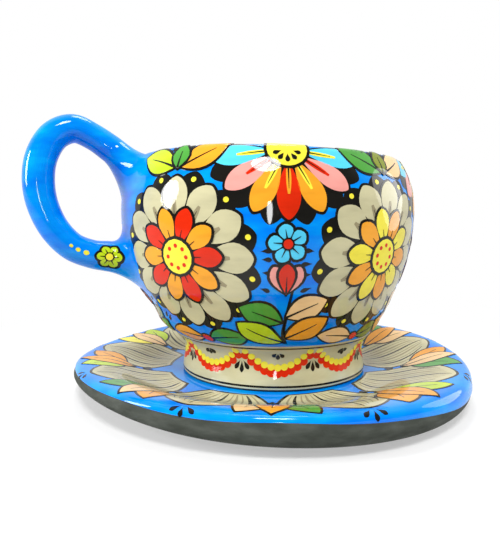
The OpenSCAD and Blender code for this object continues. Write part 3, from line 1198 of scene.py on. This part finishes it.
def handle_design():
    """A small flower and a row of dots on each side near the lower joint."""
    run = ring_runs[len(rings) - JOINT_RINGS - 1]
    for side in (0.0, 0.5):
        place = on_handle(run, side)
        petal_ring(["lime"], place, 0, count=6, near=0.6, far=4.2, width=2.9)
        dot("black", place, 4, (0, 0), radius=1.6)
        dot("yellow", place, 5, (0, 0), radius=1.2)
        for along, radius in ((-7.6, 0.95), (-10.4, 0.8), (-12.9, 0.65)):
            dot("yellow", place, 0, (0, along), radius)


# Light, floor and camera


def studio_lamp(name, place, aim, size, power):
    """A soft oval lamp that faces a point."""
    lamp = bpy.data.lights.new(name, "AREA")
    lamp.shape = "ELLIPSE"
    lamp.size, lamp.size_y = size
    lamp.energy = power
    made = bpy.data.objects.new(name, lamp)
    made.location = place
    way = made.location.copy()
    way.x, way.y, way.z = (a - p for a, p in zip(aim, place))
    made.rotation_euler = way.to_track_quat("-Z", "Y").to_euler()
    bpy.context.scene.collection.objects.link(made)


# Strength of the surround as light and as the mirrored room, and which way the camera looks
AMBIENT = 0.31
ROOM = 0.06
CAMERA_WAY = (0.408, 0.913, 0.0)

# Half the floor's width, its height, and how it fades from its shadow to white
FLOOR_HALF = 6.0
FLOOR_Z = -0.0002
FADE_NEAR, FADE_FAR, FADE_LEAST = 0.07, 0.2, 0.42


def joined_by(tree, operation, first, second):
    """A node that joins two values."""
    made = tree.nodes.new("ShaderNodeMath")
    made.operation = operation
    tree.links.new(first, made.inputs[0])
    tree.links.new(second, made.inputs[1])
    return made.outputs["Value"]


def between(tree, value, low, high, to_low, to_high):
    """A node that eases a value from one range to another."""
    made = tree.nodes.new("ShaderNodeMapRange")
    made.interpolation_type = "SMOOTHSTEP"
    names = ("From Min", "From Max", "To Min", "To Max")
    for name, number in zip(names, (low, high, to_low, to_high)):
        made.inputs[name].default_value = number
    tree.links.new(value, made.inputs["Value"])
    return made.outputs["Result"]


def white_strength(tree, way, low, high):
    """Strength of a white surround: full where seen, less as light or mirrored from the camera's side."""
    toward = tree.nodes.new("ShaderNodeVectorMath")
    toward.operation = "DOT_PRODUCT"
    toward.inputs[1].default_value = CAMERA_WAY
    tree.links.new(way, toward.inputs[0])
    mirrored = between(tree, toward.outputs["Value"], low, high, ROOM, 1.0)
    path = tree.nodes.new("ShaderNodeLightPath")
    glossy = joined_by(tree, "MULTIPLY", path.outputs["Is Glossy Ray"], mirrored)
    direct, through = path.outputs["Is Camera Ray"], path.outputs["Is Transmission Ray"]
    seen = joined_by(tree, "MAXIMUM", direct, through)
    light = between(tree, path.outputs["Is Diffuse Ray"], 0, 1, 0, AMBIENT)
    return joined_by(tree, "MAXIMUM", joined_by(tree, "MAXIMUM", seen, glossy), light)


def world():
    made = bpy.data.worlds.new("studio")
    bpy.context.scene.world = made
    made.use_nodes = True
    tree = made.node_tree
    coords = tree.nodes.new("ShaderNodeTexCoord")
    strength = white_strength(tree, coords.outputs["Generated"], low=-0.3, high=0.4)
    background = tree.nodes["Background"]
    background.inputs["Color"].default_value = (1, 1, 1, 1)
    tree.links.new(strength, background.inputs["Strength"])


def floor():
    """A pale floor that takes the shadow."""
    mesh = bpy.data.meshes.new("floor")
    corners = [(x * FLOOR_HALF, y * FLOOR_HALF, 0) for x, y in ((-1, -1), (1, -1), (1, 1), (-1, 1))]
    mesh.from_pydata(corners, [], [(0, 1, 2, 3)])
    made = bpy.data.objects.new("floor", mesh)
    made.location.z = FLOOR_Z
    bpy.context.scene.collection.objects.link(made)
    f = Finish("floor")
    f.tone(f.noise(3.0), (0.93, 0.93, 0.93, 1), (0.95, 0.95, 0.95, 1))
    f.set({"Roughness": 0.9})
    far = f.node("ShaderNodeVectorMath", operation="LENGTH")
    f.link(f.coords.outputs["Object"], far.inputs[0])
    fade = between(f.tree, far.outputs["Value"], FADE_NEAR, FADE_FAR, FADE_LEAST, 1.0)
    strength = white_strength(f.tree, f.coords.outputs["Object"], low=-0.3, high=-0.1)
    glow = f.node("ShaderNodeEmission")
    f.link(strength, glow.inputs["Strength"])
    mix = f.node("ShaderNodeMixShader")
    f.link(fade, mix.inputs["Fac"])
    f.link(f.shader.outputs["BSDF"], mix.inputs[1])
    f.link(glow.outputs["Emission"], mix.inputs[2])
    f.link(mix.outputs["Shader"], f.tree.nodes["Material Output"].inputs["Surface"])
    mesh.materials.append(f.material)


# The camera that fits the photo: its place, its turns in degrees and its focal length
CAMERA_PLACE = (-0.0797, -0.1784, 0.0580)
CAMERA_TILT = 84.68
CAMERA_PAN = -22.0
FOCAL = 31.43


def camera():
    lens = bpy.data.cameras.new("camera")
    lens.lens = FOCAL
    lens.sensor_width = 36.0
    lens.clip_start = 0.01
    made = bpy.data.objects.new("camera", lens)
    made.location = CAMERA_PLACE
    made.rotation_euler = (math.radians(CAMERA_TILT), 0, math.radians(CAMERA_PAN))
    bpy.context.scene.collection.objects.link(made)
    bpy.context.scene.camera = made


saucer_clay()
saucer_coat()
cup_bowl()
cup_lining()
cup_foot()
handle()
foot_slip()

cup_design()
foot_swags()
saucer_design()
handle_design()
build_films()
world()
floor()
studio_lamp("front_lamp", (-0.16, -0.37, 0.55), (0, 0, 0.06), size=(0.19, 0.19), power=2.9)
studio_lamp("back_lamp", (0.06, 0.16, 0.66), (0, 0, 0.03), size=(0.28, 0.28), power=1.6)
studio_lamp("low_lamp", (-0.2, -0.5, 0.07), (-0.02, 0, 0.05), size=(0.035, 0.14), power=0.38)
studio_lamp("left_lamp", (-0.54, 0.06, 0.2), (-0.03, 0, 0.06), size=(0.15, 0.24), power=2.0)
studio_lamp("right_lamp", (0.55, -0.12, 0.2), (0.02, 0, 0.06), size=(0.34, 0.4), power=1.3)
camera()
bpy.context.scene.view_settings.view_transform = "Standard"
